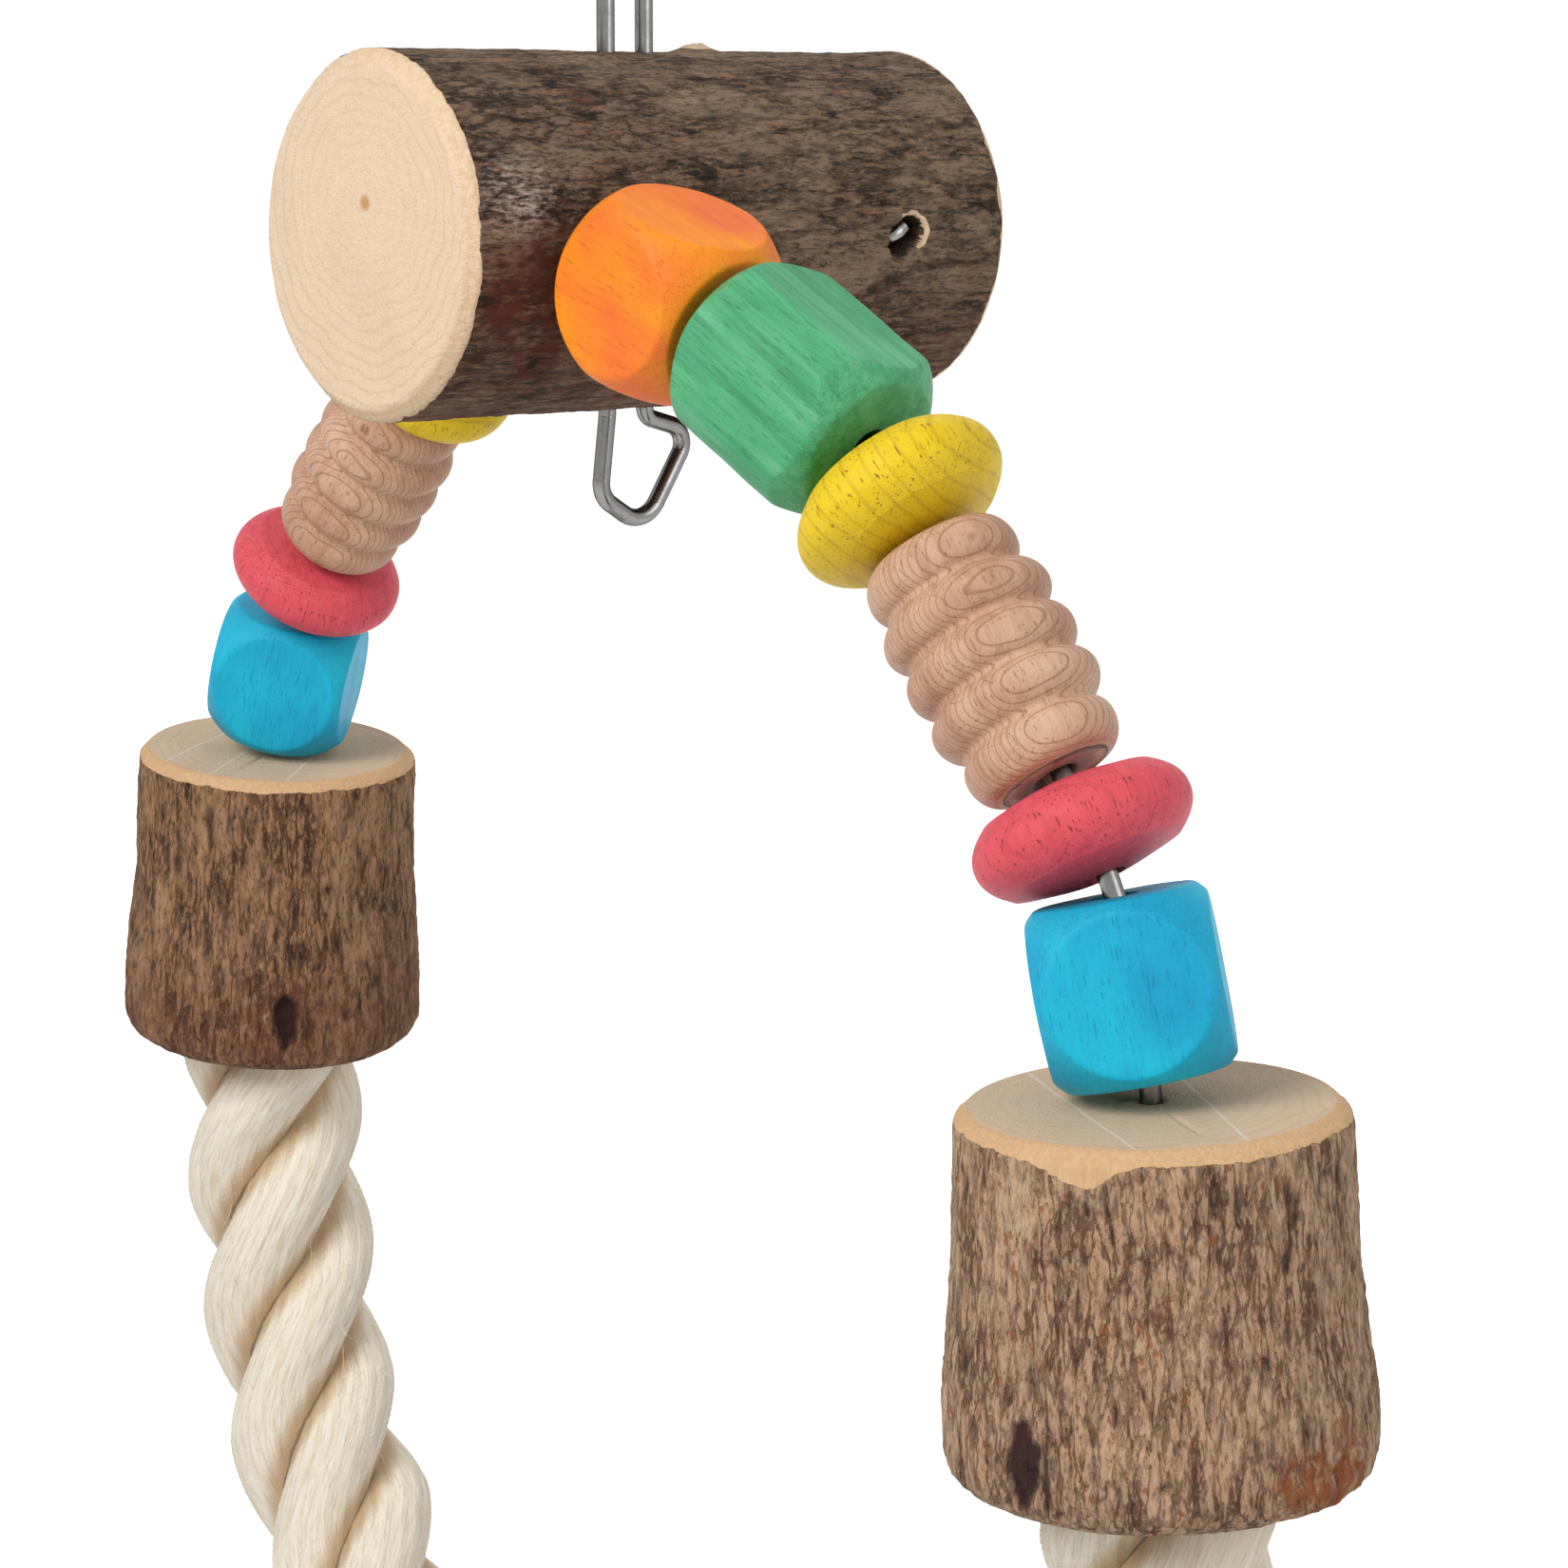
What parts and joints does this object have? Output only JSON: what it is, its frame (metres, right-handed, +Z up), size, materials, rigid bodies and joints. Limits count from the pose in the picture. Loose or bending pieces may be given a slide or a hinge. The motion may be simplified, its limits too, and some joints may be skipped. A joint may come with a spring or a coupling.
{
  "type": "bird swing",
  "caption": "Hanging bird swing: bark log on a screw link, bent wire legs threaded with coloured wooden beads, bark blocks and a thick rope perch between them.",
  "frame": {"origin": "inside of the top of the screw link, at the point that rests on the cage bar or hook", "axes": "+Z up, +Y along the log towards its far end, +X across the log towards the front leg, so the perch runs along X"},
  "size_m": [0.333, 0.1066, 0.4336],
  "materials": {
    "bark_wood": "rough bark, sanded cut ends",
    "wire_steel": "bright drawn wire",
    "link_steel": "zinc plated",
    "nail_steel": "plain",
    "orange_wood": "stained, satin",
    "green_wood": "stained, satin",
    "yellow_wood": "stained, satin",
    "natural_wood": "plain beech",
    "red_wood": "stained, satin",
    "blue_wood": "stained, satin",
    "sisal_rope": "three-strand laid natural fibre"
  },
  "bodies": {
    "link": {"link_body": "link_steel"},
    "sleeve": {"link_sleeve": "link_steel"},
    "swing": {"hanging_wire": "wire_steel", "log": "bark_wood", "front_leg_wire": "wire_steel", "rear_leg_wire": "wire_steel", "front_block": "bark_wood", "rear_block": "bark_wood", "front_washer": "link_steel", "rear_washer": "link_steel", "front_nail": "nail_steel", "rear_nail": "nail_steel", "rope": "sisal_rope"},
    "front_orange_bead": {"front_orange_bead": "orange_wood"},
    "front_green_bead": {"front_green_bead": "green_wood"},
    "front_yellow_bead": {"front_yellow_bead": "yellow_wood"},
    "front_ribbed_bead": {"front_ribbed_bead": "natural_wood"},
    "front_red_bead": {"front_red_bead": "red_wood"},
    "front_blue_bead": {"front_blue_bead": "blue_wood"},
    "rear_orange_bead": {"rear_orange_bead": "orange_wood"},
    "rear_green_bead": {"rear_green_bead": "green_wood"},
    "rear_yellow_bead": {"rear_yellow_bead": "yellow_wood"},
    "rear_ribbed_bead": {"rear_ribbed_bead": "natural_wood"},
    "rear_red_bead": {"rear_red_bead": "red_wood"},
    "rear_blue_bead": {"rear_blue_bead": "blue_wood"}
  },
  "joints": [
    {"name": "swing", "type": "hinge", "parent": "link", "child": "swing", "pos_m": [0, 0, -0.038], "axis": [1, 0, 0], "range_deg": [-35, 35]},
    {"name": "link_sleeve_slide", "type": "slide", "parent": "link", "child": "sleeve", "axis": [0, 0, 1], "range_m": [0, 0.009]},
    {"name": "front_orange_bead_spin", "type": "hinge", "parent": "swing", "child": "front_orange_bead", "pos_m": [0.04174, -0.02391, -0.10995], "axis": [0.926, 0.0908, -0.3665], "continuous": true},
    {"name": "front_green_bead_spin", "type": "hinge", "parent": "swing", "child": "front_green_bead", "pos_m": [0.06832, -0.0213, -0.12115], "axis": [0.8767, 0.086, -0.4733], "continuous": true},
    {"name": "front_yellow_bead_spin", "type": "hinge", "parent": "swing", "child": "front_yellow_bead", "pos_m": [0.08747, -0.01942, -0.135], "axis": [0.7249, 0.0711, -0.6852], "continuous": true},
    {"name": "front_ribbed_bead_spin", "type": "hinge", "parent": "swing", "child": "front_ribbed_bead", "pos_m": [0.10495, -0.01771, -0.15495], "axis": [0.6397, 0.0627, -0.766], "continuous": true},
    {"name": "front_red_bead_spin", "type": "hinge", "parent": "swing", "child": "front_red_bead", "pos_m": [0.12168, -0.01607, -0.17578], "axis": [0.5458, 0.0535, -0.8362], "continuous": true},
    {"name": "front_blue_bead_spin", "type": "hinge", "parent": "swing", "child": "front_blue_bead", "pos_m": [0.13085, -0.01517, -0.19586], "axis": [0.275, 0.027, -0.9611], "continuous": true},
    {"name": "rear_orange_bead_spin", "type": "hinge", "parent": "swing", "child": "rear_orange_bead", "pos_m": [-0.04182, 0.02778, -0.11145], "axis": [-0.9277, -0.0714, -0.3665], "continuous": true},
    {"name": "rear_green_bead_spin", "type": "hinge", "parent": "swing", "child": "rear_green_bead", "pos_m": [-0.06845, 0.02573, -0.12265], "axis": [-0.8783, -0.0676, -0.4733], "continuous": true},
    {"name": "rear_yellow_bead_spin", "type": "hinge", "parent": "swing", "child": "rear_yellow_bead", "pos_m": [-0.08763, 0.02426, -0.1365], "axis": [-0.7262, -0.0559, -0.6852], "continuous": true},
    {"name": "rear_ribbed_bead_spin", "type": "hinge", "parent": "swing", "child": "rear_ribbed_bead", "pos_m": [-0.10514, 0.02291, -0.15645], "axis": [-0.6409, -0.0493, -0.766], "continuous": true},
    {"name": "rear_red_bead_spin", "type": "hinge", "parent": "swing", "child": "rear_red_bead", "pos_m": [-0.1219, 0.02162, -0.17728], "axis": [-0.5468, -0.0421, -0.8362], "continuous": true},
    {"name": "rear_blue_bead_spin", "type": "hinge", "parent": "swing", "child": "rear_blue_bead", "pos_m": [-0.13109, 0.02091, -0.19736], "axis": [-0.2755, -0.0212, -0.9611], "continuous": true}
  ]
}
